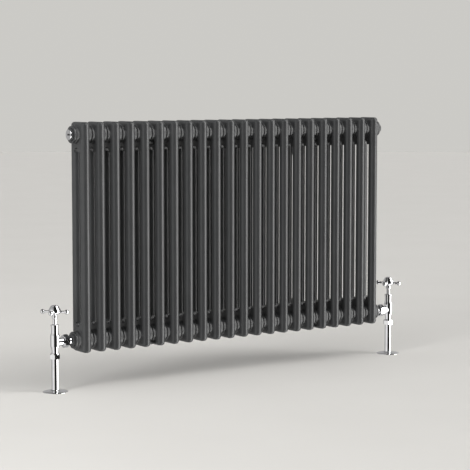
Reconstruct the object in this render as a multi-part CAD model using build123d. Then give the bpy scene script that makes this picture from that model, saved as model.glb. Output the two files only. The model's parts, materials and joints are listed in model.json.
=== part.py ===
# Two-column tubular steel radiator, 22 sections, with a pair of crosshead valves.
# Millimetres. X runs along the radiator, +Y points to the wall, +Z is up.
# The origin is on the wall plane, at the centre of the wall-bracket hole pattern.
import math
import os

from build123d import *

os.makedirs("parts", exist_ok=True)

# ---------------------------------------------------------------- radiator sizes
SECTIONS = 22
PITCH = 45.0                    # section to section along X
TUBE_OD = 25.0
TUBE_WALL = 1.2
COLUMN_GAP = 45.0               # front tube axis to rear tube axis
HEIGHT = 600.0
HUB_INSET = 32.5                # hub axis to the top or bottom of a section
DEPTH = COLUMN_GAP + TUBE_OD
HEAD_WALL = 1.5
HEAD_STUB = 45.0                # hub axis to the tube weld
WEB = 33.5                      # hub axis to the crown of the gap between columns
HEAD_ROUND = 9.0                # rounding all along the top edge of a head
BOSS_R = 24.3
BOSS_ROOT_R = 27.5
HUB_CHANNEL_R = 21.5
HUB_BORE_R = 16.65              # G1 thread, drawn as a plain bore
NECK = 4.0                      # thickness of the welded lip between sections

# ---------------------------------------------------------------- position
MID_Y = -70.0                   # radiator mid-plane in front of the wall
HUB_SPACING = HEIGHT - 2 * HUB_INSET
PLATE_BELOW_HIGH = 34.0         # upper bracket plate centre below the upper hub
PLATE_ABOVE_LOW = 8.0           # lower bracket plate centre above the lower hub
HUB_LOW_Z = -HUB_SPACING / 2 + (PLATE_BELOW_HIGH - PLATE_ABOVE_LOW) / 2
HUB_HIGH_Z = HUB_LOW_Z + HUB_SPACING
FLOOR_DROP = 130.5              # lower hub axis above the finished floor
END_X = SECTIONS * PITCH / 2    # outer face of the last hub

# ---------------------------------------------------------------- end fittings
GASKET = 1.0
GASKET_R = 21.5
BUSH_FLANGE_R = 22.5
BUSH_STEP_R = 17.0
BUSH_FACE = 10.0                # end hub face to the bush face
BUSH_BORE_R = 10.45             # G1/2 thread, drawn as a plain bore
PLUG_R = 14.0
PLUG_PROUD = 3.0
BLANK_PROUD = 6.5

# ---------------------------------------------------------------- valve sizes
VALVE_OFFSET = 57.2             # valve axis beyond the end hub face
PIPE_R = 7.6                    # socket for 15 mm pipe
BODY_BOTTOM = -38.0
PIPE_STOP = -27.0
NUT_TOP = -29.0
NUT_BOTTOM = -44.0
NUT_AF = 25.0
SLEEVE_R = 9.5
SLEEVE_BORE_R = 8.5
PLATE_R = 33.0
PLATE_H = 6.0
UNION_AF = 30.5
UNION_START = 23.0
UNION_END = 37.0
TAIL_FACE = VALVE_OFFSET - BUSH_FACE
SPINDLE_R = 3.0
BALL_R = 6.3
BALL_REACH = 32.4
ARM_Z = 79.0
LEFT_ARM_TURN = 45.0
RIGHT_ARM_TURN = 31.5

# ---------------------------------------------------------------- wall brackets
BRACKET_X = 6 * PITCH           # seams 5/6 and 17/18
ARM_W = 14.0
LINER_IN_R = BOSS_R + 0.05
LINER_OUT_R = LINER_IN_R + 1.5
SADDLE_R = 31.0
SADDLE_ANGLE = 32.0
PLATE_T = 4.0
PLATE_W = 36.0
BRACKET_H = 84.0
SCREW_HOLE_R = 3.5
SCREW_HALF = 30.0               # screw holes above and below the plate centre


def save(name, *solids):
    """Write one node, made of one or more separate solids."""
    body = solids[0] if len(solids) == 1 else Compound(children=list(solids))
    body.label = name
    export_step(body, os.path.join("parts", name + ".step"))


def turned(points, rounds=()):
    """Solid of revolution about Z from (radius, height) points, with some corners rounded."""
    face = make_face(Polyline(*[(r, z) for r, z in points], close=True))
    for (r, z), radius in rounds:
        near = face.vertices().sort_by_distance(Vector(r, z, 0))[0]
        face = fillet(near, radius)
    return revolve(Plane.XZ * face, Axis.Z)


def rod(radius, low, high):
    """Cylinder about Z between two heights."""
    return Pos(0, 0, low) * Cylinder(radius, high - low, align=(Align.CENTER, Align.CENTER, Align.MIN))


def hexagon(across_flats, low, high):
    """Hexagonal prism about Z."""
    sketch = RegularPolygon(across_flats / 2, 6, major_radius=False)
    return Pos(0, 0, low) * extrude(sketch, high - low)


def along_x(shape, flip=1):
    """Turn a shape built about Z so that its +Z points along +X (or -X)."""
    return Rot(0, 90 * flip, 0) * shape


# ================================================================ radiator sections
def head_block(inset, low):
    """Flat-sided head with a rounded top edge; its ends carry on the front and rear tubes."""
    plan = SlotOverall(DEPTH - 2 * inset, TUBE_OD - 2 * inset, rotation=90)
    block = Pos(0, 0, low) * extrude(plan, HUB_INSET - inset - low)
    return fillet(block.faces().sort_by(Axis.Z)[-1].edges(), HEAD_ROUND - inset)


def head(long_neck_left, long_neck_right):
    """Top head of a section about its own hub axis; the bottom head is the same, turned over."""
    block = head_block(0, -HEAD_STUB)

    gap = COLUMN_GAP - TUBE_OD
    arch = Pos(0, -WEB - gap / 2) * Circle(gap / 2)
    arch += Pos(0, -WEB - gap / 2 - HEAD_STUB / 2) * Rectangle(gap, HEAD_STUB)
    block -= extrude(Plane.YZ * arch, TUBE_OD, both=True)

    half = PITCH / 2
    boss = [
        (0, 0),
        (BOSS_ROOT_R, 0),
        (BOSS_ROOT_R, half - 9.6),
        (BOSS_R, half - 8.6),
        (BOSS_R, half - 1.8),
        (BOSS_R - 2.0, half),
        (0, half),
    ]
    rounds = (((BOSS_ROOT_R, half - 9.6), 0.8), ((BOSS_R, half - 8.6), 0.8), ((BOSS_R, half - 1.8), 0.8))
    for flip in (-1, 1):
        block += along_x(turned(boss, rounds), flip)

    hollow = head_block(HEAD_WALL, -WEB + HEAD_WALL)
    for side in (-1, 1):
        hollow += Pos(0, side * COLUMN_GAP / 2) * rod(TUBE_OD / 2 - TUBE_WALL, -HEAD_STUB - 1, 0)
    for flip, long_neck in ((-1, long_neck_left), (1, long_neck_right)):
        wide = 10.5 if long_neck else half - NECK
        hollow += along_x(rod(HUB_CHANNEL_R, 0, wide), flip)
        hollow += along_x(rod(HUB_BORE_R, 0, half + 1), flip)
    return block - hollow


tube = rod(TUBE_OD / 2, 0, HUB_SPACING - 2 * HEAD_STUB)
tube -= rod(TUBE_OD / 2 - TUBE_WALL, -1, HUB_SPACING)
heads = {
    "first": head(True, False),
    "middle": head(False, False),
    "last": head(False, True),
}

for n in range(SECTIONS):
    x = -END_X + PITCH * (n + 0.5)
    kind = "first" if n == 0 else "last" if n == SECTIONS - 1 else "middle"
    under = {"first": "last", "middle": "middle", "last": "first"}[kind]
    top_head = Pos(x, MID_Y, HUB_HIGH_Z) * heads[kind]
    low_head = Pos(x, MID_Y, HUB_LOW_Z) * Rot(0, 180, 0) * heads[under]
    tubes = [Pos(x, MID_Y + s * COLUMN_GAP / 2, HUB_LOW_Z + HEAD_STUB) * tube for s in (-1, 1)]
    save(f"section_{n + 1:02d}", top_head, low_head, *tubes)

# ================================================================ end fittings
bush = turned(
    [
        (BUSH_BORE_R, -10.5),
        (HUB_BORE_R - 0.05, -10.5),
        (HUB_BORE_R - 0.05, GASKET),
        (BUSH_FLANGE_R, GASKET),
        (BUSH_FLANGE_R, 5.5),
        (BUSH_STEP_R, 5.5),
        (BUSH_STEP_R, BUSH_FACE),
        (BUSH_BORE_R, BUSH_FACE),
    ],
    (((BUSH_FLANGE_R, 5.5), 1.2), ((BUSH_STEP_R, BUSH_FACE), 1.2)),
)
bush_gasket = rod(GASKET_R, 0, GASKET) - rod(HUB_BORE_R + 0.1, -1, 2)

vent_plug = turned(
    [
        (0, -2),
        (BUSH_BORE_R - 0.05, -2),
        (BUSH_BORE_R - 0.05, BUSH_FACE),
        (PLUG_R, BUSH_FACE),
        (PLUG_R, BUSH_FACE + PLUG_PROUD),
        (0, BUSH_FACE + PLUG_PROUD),
    ],
    (((PLUG_R, BUSH_FACE + PLUG_PROUD), 1.0),),
)
VENT_SCREW_R = 2.5
VENT_SEAT = 4.0
vent_plug -= rod(VENT_SCREW_R + 0.05, VENT_SEAT, BUSH_FACE + PLUG_PROUD + 1)
vent_plug -= rod(1.2, -3, VENT_SEAT + 1)
vent_screw = rod(VENT_SCREW_R, VENT_SEAT, BUSH_FACE + PLUG_PROUD + 0.4)
vent_key = extrude(Rectangle(5.0, 5.0), 3.0)
vent_key = fillet(vent_key.edges().filter_by(Axis.Z), 0.5)
vent_screw += Pos(0, 0, BUSH_FACE + PLUG_PROUD + 0.3) * vent_key

blank_plug = turned(
    [
        (0, -2),
        (BUSH_BORE_R - 0.05, -2),
        (BUSH_BORE_R - 0.05, BUSH_FACE),
        (PLUG_R, BUSH_FACE),
        (PLUG_R, BUSH_FACE + 2.5),
        (PLUG_R - 2.0, BUSH_FACE + BLANK_PROUD),
        (0, BUSH_FACE + BLANK_PROUD),
    ],
    (((PLUG_R, BUSH_FACE + 2.5), 1.0), ((PLUG_R - 2.0, BUSH_FACE + BLANK_PROUD), 1.2)),
)
blank_plug -= hexagon(10.0, BUSH_FACE, BUSH_FACE + BLANK_PROUD + 1)
blank_plug -= rod(7.5, -3, 3)


def at_end(shape, side, hub_z):
    """Place an end fitting built about Z from the hub face onto an end of the radiator."""
    return Pos(side * END_X, MID_Y, hub_z) * along_x(shape, side)


gaskets = []
for side, side_name in ((-1, "left"), (1, "right")):
    for hub_z, level in ((HUB_LOW_Z, "lower"), (HUB_HIGH_Z, "upper")):
        save(f"bush_{level}_{side_name}", at_end(bush, side, hub_z))
        gaskets.append(at_end(bush_gasket, side, hub_z))
save("bush_gaskets", *gaskets)
save("vent_plug", at_end(vent_plug, -1, HUB_HIGH_Z))
save("vent_screw", at_end(vent_screw, -1, HUB_HIGH_Z))
save("blank_plug", at_end(blank_plug, 1, HUB_HIGH_Z))

# ================================================================ valve, about its own axis
# Heights are from the outlet axis; the outlet points along +X.
body = turned(
    [
        (0, BODY_BOTTOM),
        (10.4, BODY_BOTTOM),
        (10.4, NUT_TOP - 0.4),
        (8.6, NUT_TOP - 0.4),
        (8.6, -24.5),
        (10.4, -16.0),
        (12.2, -11.0),
        (12.2, 17.0),
        (9.6, 24.0),
        (9.6, 42.0),
        (0, 42.0),
    ],
    (((8.6, -24.5), 6.0), ((12.2, -11.0), 4.0), ((12.2, 17.0), 4.0), ((9.6, 24.0), 3.0)),
)
body += along_x(rod(10.0, 0, UNION_START + 1.4))
body += along_x(rod(13.1, UNION_START + 1.2, UNION_END - 6.0))
body -= rod(PIPE_R, BODY_BOTTOM - 1, PIPE_STOP)
body -= rod(6.0, PIPE_STOP - 1, -12.0)
body -= rod(4.5, -13.0, -7.0)
body -= rod(8.0, -8.0, 20.0)
body -= rod(7.2, 19.0, 43.0)
body -= along_x(rod(6.5, 0, UNION_END))
mouth = Cone(PIPE_R + 1.75, PIPE_R, 2.0, align=(Align.CENTER, Align.CENTER, Align.MIN))
body -= Pos(0, 0, BODY_BOTTOM) * mouth

bonnet = turned(
    [
        (0, 22.0),
        (7.15, 22.0),
        (7.15, 42.0),
        (10.8, 42.0),
        (10.8, 45.0),
        (5.25, 47.0),
        (5.25, 60.0),
        (0, 60.0),
    ],
    (((10.8, 45.0), 0.8), ((5.25, 60.0), 0.6)),
)
bonnet -= hexagon(9.0, 21.0, 34.5)
bonnet -= rod(5.2, 34.0, 38.0)
bonnet -= rod(SPINDLE_R + 0.05, 37.0, 61.0)
SEAL_LOW = 50.0
SEAL_HIGH = 52.0
SEAL_R = 4.4
bonnet -= rod(SEAL_R, SEAL_LOW, SEAL_HIGH)
spindle_seal = rod(SEAL_R, SEAL_LOW, SEAL_HIGH) - rod(SPINDLE_R + 0.05, SEAL_LOW - 1, SEAL_HIGH + 1)

SQUARE = 4.2
spindle = rod(2.5, 8.0, 35.5)
spindle += rod(5.0, 35.0, 37.9)
spindle += rod(SPINDLE_R, 37.0, 64.0)
spindle += Pos(0, 0, 63.5) * extrude(Rectangle(SQUARE, SQUARE), 20.0)

plug_disc = turned([(0, -6.0), (6.6, -6.0), (6.6, -3.0), (4.2, -1.5), (4.2, 16.5), (0, 16.5)])
plug_disc += hexagon(8.9, 16.0, 29.0)
plug_disc -= rod(2.55, 3.0, 30.0)
seat_washer = turned([(0, -8.0), (6.2, -8.0), (6.2, -6.0), (0, -6.0)])

handle = turned(
    [
        (0, 60.6),
        (5.6, 60.6),
        (7.0, 63.0),
        (7.0, 68.0),
        (5.6, 71.0),
        (7.5, 73.5),
        (14.5, 75.5),
        (16.0, 77.5),
        (16.0, 81.0),
        (14.6, 86.0),
        (11.5, 92.0),
        (10.2, 94.0),
        (0, 94.0),
    ],
    (
        ((7.0, 63.0), 2.0),
        ((7.0, 68.0), 2.0),
        ((5.6, 71.0), 1.5),
        ((7.5, 73.5), 2.0),
        ((16.0, 77.5), 1.2),
        ((16.0, 81.0), 3.0),
        ((14.6, 86.0), 6.0),
        ((11.5, 92.0), 1.5),
    ),
)
arm = turned([(0, 0), (4.0, 0), (4.0, 16.0), (2.9, 20.0), (3.5, 27.5), (0, 27.5)], (((2.9, 20.0), 6.0),))
arm = Pos(0, 0, ARM_Z) * along_x(arm)
ball = Pos(BALL_REACH, 0, ARM_Z) * Sphere(BALL_R)
for quarter in range(4):
    handle += Rot(0, 0, 90 * quarter) * arm
    handle += Rot(0, 0, 90 * quarter) * ball
handle -= rod(SPINDLE_R + 0.05, 60.0, 64.2)
handle -= Pos(0, 0, 64.0) * extrude(Rectangle(SQUARE + 0.1, SQUARE + 0.1), 20.2)
handle -= rod(5.05, 88.0, 95.0)

handle_cap = turned(
    [
        (0, 88.5),
        (5.0, 88.5),
        (5.0, 94.0),
        (9.4, 94.0),
        (9.4, 94.8),
        (6.5, 96.0),
        (0, 96.3),
    ],
    (((9.4, 94.8), 0.5), ((6.5, 96.0), 4.0)),
)

tail = turned(
    [
        (0, UNION_END - 6.0),
        (12.4, UNION_END - 6.0),
        (12.4, UNION_END - 3.0),
        (10.0, UNION_END - 3.0),
        (10.0, TAIL_FACE),
        (10.4, TAIL_FACE + 0.3),
        (10.4, TAIL_FACE + 13.0),
        (0, TAIL_FACE + 13.0),
    ],
)
tail = along_x(tail - rod(7.0, UNION_END - 7.0, TAIL_FACE + 14.0))


def chamfered_hex(across_flats, low, high, bevel):
    """Hexagonal nut blank with turned bevels on both ends."""
    corner = across_flats / math.sqrt(3)
    blank = turned(
        [
            (0, low),
            (corner - bevel, low),
            (corner + 0.05, low + bevel * 0.6),
            (corner + 0.05, high - bevel * 0.6),
            (corner - bevel, high),
            (0, high),
        ]
    )
    return hexagon(across_flats, low, high) & blank


union_nut = chamfered_hex(UNION_AF, UNION_START, UNION_END, 2.2)
union_nut -= rod(13.15, UNION_START - 1, UNION_END - 3.0)
union_nut -= rod(10.1, UNION_END - 4.0, UNION_END + 1)
union_nut = along_x(union_nut)

compression_nut = chamfered_hex(NUT_AF, NUT_BOTTOM, NUT_TOP - 3.0, 1.6)
compression_nut += turned([(0, NUT_TOP - 3.2), (12.3, NUT_TOP - 3.2), (11.2, NUT_TOP), (0, NUT_TOP)])
compression_nut -= rod(10.5, -41.5, NUT_TOP + 1)
compression_nut -= rod(8.1, NUT_BOTTOM - 1, -41.0)

olive = turned(
    [
        (PIPE_R, -41.5),
        (9.0, -41.5),
        (9.3, -39.8),
        (9.1, -38.0),
        (7.85, -36.4),
        (PIPE_R, -36.4),
    ]
)

floor_z = -FLOOR_DROP
sleeve = rod(SLEEVE_R, floor_z, NUT_BOTTOM) - rod(SLEEVE_BORE_R, floor_z - 1, NUT_BOTTOM + 1)

floor_plate = turned(
    [
        (SLEEVE_R + 0.08, floor_z),
        (PLATE_R, floor_z),
        (PLATE_R, floor_z + 0.8),
        (28.0, floor_z + 2.4),
        (15.0, floor_z + 4.4),
        (11.6, floor_z + PLATE_H),
        (SLEEVE_R + 0.08, floor_z + PLATE_H),
    ],
    (((28.0, floor_z + 2.4), 12.0), ((15.0, floor_z + 4.4), 4.0)),
)
floor_plate -= turned(
    [
        (0, floor_z - 1),
        (PLATE_R - 2.0, floor_z - 1),
        (PLATE_R - 2.5, floor_z + 0.6),
        (13.0, floor_z + 2.6),
        (0, floor_z + 2.6),
    ]
)
floor_plate += rod(12.6, floor_z, floor_z + 3.5) - rod(SLEEVE_R + 0.08, floor_z - 1, floor_z + 4)

fixed_parts = {
    "body": body,
    "bonnet": bonnet,
    "tail": tail,
    "union_nut": union_nut,
    "compression_nut": compression_nut,
    "pipe_sleeve": sleeve,
    "floor_plate": floor_plate,
}
turning_parts = {"spindle": spindle, "handle": handle, "handle_cap": handle_cap}

seals = []
olives = []
for side, side_name, arm_turn in ((-1, "left", LEFT_ARM_TURN), (1, "right", RIGHT_ARM_TURN)):
    place = Pos(side * (END_X + VALVE_OFFSET), MID_Y, HUB_LOW_Z)
    facing = place * Rot(0, 0, 0 if side < 0 else 180)
    for name, shape in fixed_parts.items():
        save(f"{side_name}_{name}", facing * shape)
    for name, shape in turning_parts.items():
        save(f"{side_name}_{name}", place * Rot(0, 0, arm_turn) * shape)
    save(f"{side_name}_valve_plug", facing * plug_disc, facing * seat_washer)
    seals.append(facing * spindle_seal)
    olives.append(facing * olive)
save("spindle_seals", *seals)
save("olives", *olives)


# ================================================================ wall brackets
def saddle(inner, outer):
    """Arc strip under a hub, built in the YZ plane about the hub axis."""
    ring = Circle(outer) - Circle(inner)
    reach = outer * 2
    spread = math.radians(SADDLE_ANGLE)
    wedge = make_face(
        Polyline(
            (0, 0),
            (-reach * math.sin(spread), -reach * math.cos(spread)),
            (reach * math.sin(spread), -reach * math.cos(spread)),
            close=True,
        )
    )
    return ring & wedge


def bracket(hub_z, plate_z, gusset):
    """Wall plate, arm and saddle as one welded bracket; gusset is the foot of the arm's brace."""
    wall = -MID_Y - PLATE_T / 2
    profile = saddle(LINER_OUT_R, SADDLE_R)
    top = -LINER_OUT_R - 0.4
    bottom = -SADDLE_R + 0.1
    if gusset < 0:
        outline = [(10.0, top), (wall, top + 3.0), (wall, bottom + gusset), (42.0, bottom), (4.0, bottom)]
    else:
        outline = [(10.0, top), (38.0, top), (wall, top + gusset), (wall, bottom), (4.0, bottom)]
    profile += make_face(Polyline(*outline, (6.0, -LINER_OUT_R - 2.0), close=True))
    profile -= Circle(LINER_OUT_R)
    arm_solid = Pos(0, MID_Y, hub_z) * extrude(Plane.YZ * profile, ARM_W / 2, both=True)
    return arm_solid + Pos(0, 0, plate_z) * wall_plate


plate_face = fillet(Rectangle(PLATE_W, BRACKET_H).vertices(), 6.0)
for s in (-1, 1):
    plate_face -= Pos(0, s * SCREW_HALF) * Circle(SCREW_HOLE_R)
wall_plate = extrude(Plane.XZ * plate_face, PLATE_T)
liner_solid = extrude(Plane.YZ * saddle(LINER_IN_R, LINER_OUT_R), ARM_W / 2 - 1, both=True)
lower_bracket = bracket(HUB_LOW_Z, HUB_LOW_Z + PLATE_ABOVE_LOW, 24.0)
upper_bracket = bracket(HUB_HIGH_Z, HUB_HIGH_Z - PLATE_BELOW_HIGH, -16.0)

liners = []
for side, side_name in ((-1, "left"), (1, "right")):
    for hub_z, level, shape in ((HUB_LOW_Z, "lower", lower_bracket), (HUB_HIGH_Z, "upper", upper_bracket)):
        save(f"bracket_{level}_{side_name}", Pos(side * BRACKET_X, 0, 0) * shape)
        liners.append(Pos(side * BRACKET_X, MID_Y, hub_z) * liner_solid)
save("bracket_liners", *liners)
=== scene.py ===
import json
import math

import bpy
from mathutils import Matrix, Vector


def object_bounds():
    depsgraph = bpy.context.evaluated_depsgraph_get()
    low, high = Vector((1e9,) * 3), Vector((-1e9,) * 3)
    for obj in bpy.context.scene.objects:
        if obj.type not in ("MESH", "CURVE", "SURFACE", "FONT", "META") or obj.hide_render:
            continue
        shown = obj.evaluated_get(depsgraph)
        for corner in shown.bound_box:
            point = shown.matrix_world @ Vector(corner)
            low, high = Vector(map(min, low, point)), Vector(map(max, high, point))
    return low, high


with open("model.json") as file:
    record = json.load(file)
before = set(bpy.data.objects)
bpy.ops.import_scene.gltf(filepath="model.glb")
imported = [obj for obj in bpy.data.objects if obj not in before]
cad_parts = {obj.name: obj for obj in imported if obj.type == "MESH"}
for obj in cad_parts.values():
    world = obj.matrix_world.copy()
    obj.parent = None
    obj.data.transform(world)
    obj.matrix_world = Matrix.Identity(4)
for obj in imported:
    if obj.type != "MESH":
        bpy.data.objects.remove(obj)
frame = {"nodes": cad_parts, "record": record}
CAD_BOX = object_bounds()
FLOOR_Z = CAD_BOX[0][2]

# camera: metres and degrees
CAMERA_AT = (-2.5473, -3.8935, 0.4256)
CAMERA_YAW = 33.761
CAMERA_PITCH = 5.355
CAMERA_LENS = 128.19

# studio: sectors are (from, to, soft edge, soft edge) in degrees of azimuth,
# heights are (from, to, soft edge, soft edge) in the sine of the elevation
CARD = (-46, 28.5, 8, 4)
CARD_HEIGHT = (-0.75, 0.95, 0.15, 0.04)
CARD_LEVEL = 0.02
WINDOW = (33, 61, 3, 8)
WINDOW_HEIGHT = (-0.90, 0.90, 0.1, 0.05)
WINDOW_LEVEL = 4.5
WALL_LEVEL = 0.85
BACK_LEVEL = 0.45
CEILING_LEVEL = 0.25
BACKGROUND = (0.600, 0.592, 0.566)


# ------------------------------------------------------------------ node helpers
def new_material(name):
    """An empty node material with a Principled shader."""
    m = bpy.data.materials.new(name)
    m.use_nodes = True
    tree = m.node_tree
    tree.nodes.clear()
    out = tree.nodes.new("ShaderNodeOutputMaterial")
    shader = tree.nodes.new("ShaderNodeBsdfPrincipled")
    tree.links.new(shader.outputs["BSDF"], out.inputs["Surface"])
    coords = tree.nodes.new("ShaderNodeTexCoord")
    return m, tree, shader, coords.outputs["Object"]


def noise(tree, where, scale, detail=2.0, rough=0.5):
    n = tree.nodes.new("ShaderNodeTexNoise")
    n.inputs["Scale"].default_value = scale
    n.inputs["Detail"].default_value = detail
    n.inputs["Roughness"].default_value = rough
    tree.links.new(where, n.inputs["Vector"])
    return n.outputs["Fac"]


def ramp(tree, value, low, high, out_low, out_high):
    """value from low..high to out_low..out_high, clamped."""
    r = tree.nodes.new("ShaderNodeMapRange")
    tree.links.new(value, r.inputs["Value"])
    r.inputs["From Min"].default_value = low
    r.inputs["From Max"].default_value = high
    r.inputs["To Min"].default_value = out_low
    r.inputs["To Max"].default_value = out_high
    return r.outputs["Result"]


def blend_colours(tree, factor, a, b):
    mix = tree.nodes.new("ShaderNodeMix")
    mix.data_type = "RGBA"
    tree.links.new(factor, mix.inputs["Factor"])
    mix.inputs[6].default_value = (*a, 1)
    mix.inputs[7].default_value = (*b, 1)
    return mix.outputs[2]


def bump(tree, shader, height, strength, distance, before=None):
    b = tree.nodes.new("ShaderNodeBump")
    b.inputs["Strength"].default_value = strength
    b.inputs["Distance"].default_value = distance
    tree.links.new(height, b.inputs["Height"])
    if before is not None:
        tree.links.new(before, b.inputs["Normal"])
    tree.links.new(b.outputs["Normal"], shader.inputs["Normal"])
    return b.outputs["Normal"]


# ------------------------------------------------------------------ materials
def powder_coat(name, dark, light, rough_low, rough_high):
    """Anthracite powder coat: fine orange peel, slight cloudiness, satin sheen."""
    m, tree, shader, where = new_material(name)
    cloud = ramp(tree, noise(tree, where, 22.0, 3.0), 0.3, 0.7, 0, 1)
    tree.links.new(blend_colours(tree, cloud, dark, light), shader.inputs["Base Color"])
    mottle = noise(tree, where, 160.0, 2.0)
    tree.links.new(ramp(tree, mottle, 0.3, 0.7, rough_low, rough_high), shader.inputs["Roughness"])
    shader.inputs["Specular IOR Level"].default_value = 0.5
    peel = noise(tree, where, 700.0, 1.0)
    first = bump(tree, shader, peel, 0.5, 0.00003)
    grit = noise(tree, where, 2600.0, 1.0)
    bump(tree, shader, grit, 0.25, 0.00001, first)
    return m


def chrome(name, colour, rough_low, rough_high, wave):
    """Polished chrome plate with faint polishing waves and handling haze."""
    m, tree, shader, where = new_material(name)
    haze = noise(tree, where, 45.0, 4.0, 0.6)
    darker = tuple(c * 0.93 for c in colour)
    tint = ramp(tree, haze, 0.35, 0.65, 0, 1)
    tree.links.new(blend_colours(tree, tint, darker, colour), shader.inputs["Base Color"])
    shader.inputs["Metallic"].default_value = 1.0
    tree.links.new(ramp(tree, haze, 0.35, 0.7, rough_low, rough_high), shader.inputs["Roughness"])
    polish = noise(tree, where, 120.0, 1.0)
    bump(tree, shader, polish, 0.4, wave)
    return m


def brass(name):
    m, tree, shader, where = new_material(name)
    tone = noise(tree, where, 300.0, 4.0)
    tint = ramp(tree, tone, 0.3, 0.7, 0, 1)
    colour = blend_colours(tree, tint, (0.42, 0.27, 0.10), (0.66, 0.46, 0.20))
    tree.links.new(colour, shader.inputs["Base Color"])
    shader.inputs["Metallic"].default_value = 1.0
    tree.links.new(ramp(tree, tone, 0.3, 0.7, 0.22, 0.4), shader.inputs["Roughness"])
    bump(tree, shader, noise(tree, where, 1500.0, 2.0), 0.3, 0.00002)
    return m


def rubber(name):
    m, tree, shader, where = new_material(name)
    tone = noise(tree, where, 200.0, 3.0)
    colour = blend_colours(tree, tone, (0.012, 0.012, 0.013), (0.028, 0.028, 0.028))
    tree.links.new(colour, shader.inputs["Base Color"])
    tree.links.new(ramp(tree, tone, 0.3, 0.7, 0.65, 0.85), shader.inputs["Roughness"])
    bump(tree, shader, noise(tree, where, 1800.0, 2.0), 0.4, 0.00003)
    return m


ANTHRACITE = (0.033, 0.034, 0.035)
MATERIALS = {
    "powder_coat": powder_coat("powder_coat", ANTHRACITE, (0.039, 0.040, 0.041), 0.29, 0.35),
    "powder_coat_fittings": powder_coat(
        "powder_coat_fittings", ANTHRACITE, (0.038, 0.039, 0.040), 0.28, 0.34
    ),
    "chrome": chrome("chrome", (0.93, 0.93, 0.94), 0.03, 0.07, 0.00002),
    "chrome_tube": chrome("chrome_tube", (0.92, 0.92, 0.93), 0.03, 0.08, 0.00002),
    "bare_brass": brass("bare_brass"),
    "seal_rubber": rubber("seal_rubber"),
}
for part in frame["record"]["subparts"]:
    node = frame["nodes"][part["node"]]
    for one in node.material_slots:
        one.material = MATERIALS[part["material_slot"]]


# ------------------------------------------------------------------ floor
def pale_floor():
    bpy.ops.mesh.primitive_circle_add(vertices=96, radius=14, fill_type="NGON", location=(0, 0, FLOOR_Z))
    floor = bpy.context.object
    floor.name = "studio_floor"
    m, tree, shader, where = new_material("studio_floor")
    tone = noise(tree, where, 3.0, 3.0)
    colour = blend_colours(tree, tone, (0.50, 0.49, 0.47), (0.53, 0.52, 0.50))
    tree.links.new(colour, shader.inputs["Base Color"])
    shader.inputs["Roughness"].default_value = 0.75
    shader.inputs["Specular IOR Level"].default_value = 0.2
    floor.data.materials.append(m)
    floor.visible_glossy = False


pale_floor()

# ------------------------------------------------------------------ camera
cam_data = bpy.data.cameras.new("camera")
cam_data.sensor_width = 36.0
cam_data.lens = CAMERA_LENS
cam_data.clip_end = 100
camera = bpy.data.objects.new("camera", cam_data)
bpy.context.scene.collection.objects.link(camera)
camera.location = CAMERA_AT
camera.rotation_euler = (math.radians(90 - CAMERA_PITCH), 0, -math.radians(CAMERA_YAW))
bpy.context.scene.camera = camera


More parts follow.
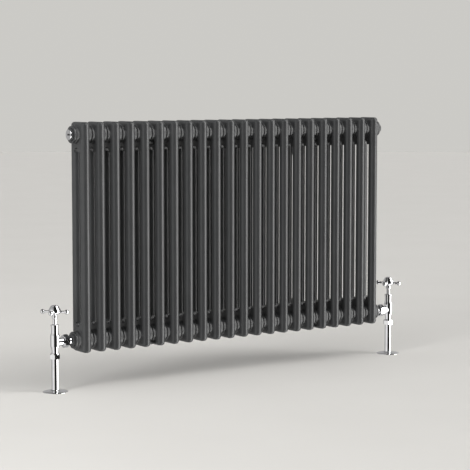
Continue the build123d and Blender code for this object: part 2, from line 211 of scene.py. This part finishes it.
# ------------------------------------------------------------------ studio light
def world_light():
    """A pale studio with a dark card around the viewer and a bright tall window beside it.

    Directions are given by azimuth, 0 towards -Y and positive towards +X, and by height.
    """
    world = bpy.data.worlds.new("studio")
    bpy.context.scene.world = world
    world.use_nodes = True
    tree = world.node_tree
    tree.nodes.clear()
    out = tree.nodes.new("ShaderNodeOutputWorld")
    coords = tree.nodes.new("ShaderNodeTexCoord")
    split = tree.nodes.new("ShaderNodeSeparateXYZ")
    tree.links.new(coords.outputs["Generated"], split.inputs[0])

    def maths(operation, x, y):
        n = tree.nodes.new("ShaderNodeMath")
        n.operation = operation
        for socket, value in zip(n.inputs, (x, y)):
            if isinstance(value, (int, float)):
                socket.default_value = value
            else:
                tree.links.new(value, socket)
        return n.outputs[0]

    up = split.outputs["Z"]
    azimuth = maths("ARCTAN2", split.outputs["X"], maths("MULTIPLY", split.outputs["Y"], -1))

    def band(value, low, high, soft_low, soft_high):
        """1 between low and high, falling to 0 outside over the given widths."""
        rise = ramp(tree, value, low - soft_low, low, 0, 1)
        fall = ramp(tree, value, high, high + soft_high, 1, 0)
        return maths("MULTIPLY", rise, fall)

    def sector(low, high, soft_low, soft_high):
        return band(azimuth, *(math.radians(v) for v in (low, high, soft_low, soft_high)))

    card = maths("MULTIPLY", sector(*CARD), band(up, *CARD_HEIGHT))
    window = maths("MULTIPLY", sector(*WINDOW), band(up, *WINDOW_HEIGHT))
    away = maths("ABSOLUTE", azimuth, 0)
    turned_away = ramp(tree, away, math.radians(100), math.radians(140), 1.0, BACK_LEVEL)
    wall = maths("MULTIPLY", turned_away, WALL_LEVEL)
    wall = maths("MULTIPLY", wall, ramp(tree, up, 0.35, 0.75, 1.0, CEILING_LEVEL))
    uncovered = maths("SUBTRACT", 1.0, maths("MULTIPLY", card, 1.0 - CARD_LEVEL))
    level = maths("MULTIPLY", wall, uncovered)
    level = maths("ADD", level, maths("MULTIPLY", window, WINDOW_LEVEL))
    light = tree.nodes.new("ShaderNodeBackground")
    light.inputs["Color"].default_value = (1.0, 0.995, 0.985, 1)
    tree.links.new(level, light.inputs["Strength"])
    seen = tree.nodes.new("ShaderNodeBackground")
    seen.inputs["Color"].default_value = (*BACKGROUND, 1)
    seen.inputs["Strength"].default_value = 1.0
    path = tree.nodes.new("ShaderNodeLightPath")
    mix = tree.nodes.new("ShaderNodeMixShader")
    tree.links.new(path.outputs["Is Camera Ray"], mix.inputs[0])
    tree.links.new(light.outputs[0], mix.inputs[1])
    tree.links.new(seen.outputs[0], mix.inputs[2])
    tree.links.new(mix.outputs[0], out.inputs["Surface"])


def add_lamp(name, lamp, where, rotation):
    """A lamp that fills the shading but leaves no mirror image in the chrome."""
    o = bpy.data.objects.new(name, lamp)
    bpy.context.scene.collection.objects.link(o)
    o.location = where
    o.rotation_euler = rotation
    o.visible_glossy = False


def fill_left():
    """A tall softbox to the left, aimed at the part's origin."""
    lamp = bpy.data.lights.new("fill_left", "AREA")
    lamp.shape = "RECTANGLE"
    lamp.size = 1.2
    lamp.size_y = 2.6
    lamp.energy = 120
    where = Vector((-3.8, -1.5, 0.9))
    add_lamp("fill_left", lamp, where, (-where).to_track_quat("-Z", "Y").to_euler())


def fill_top():
    """Broad even light from overhead."""
    lamp = bpy.data.lights.new("fill_top", "SUN")
    lamp.energy = 1.95
    lamp.angle = math.radians(80)
    add_lamp("fill_top", lamp, (0, 0, 0), (math.radians(12), math.radians(-10), 0))


world_light()
fill_left()
fill_top()
bpy.context.scene.view_settings.view_transform = "Standard"
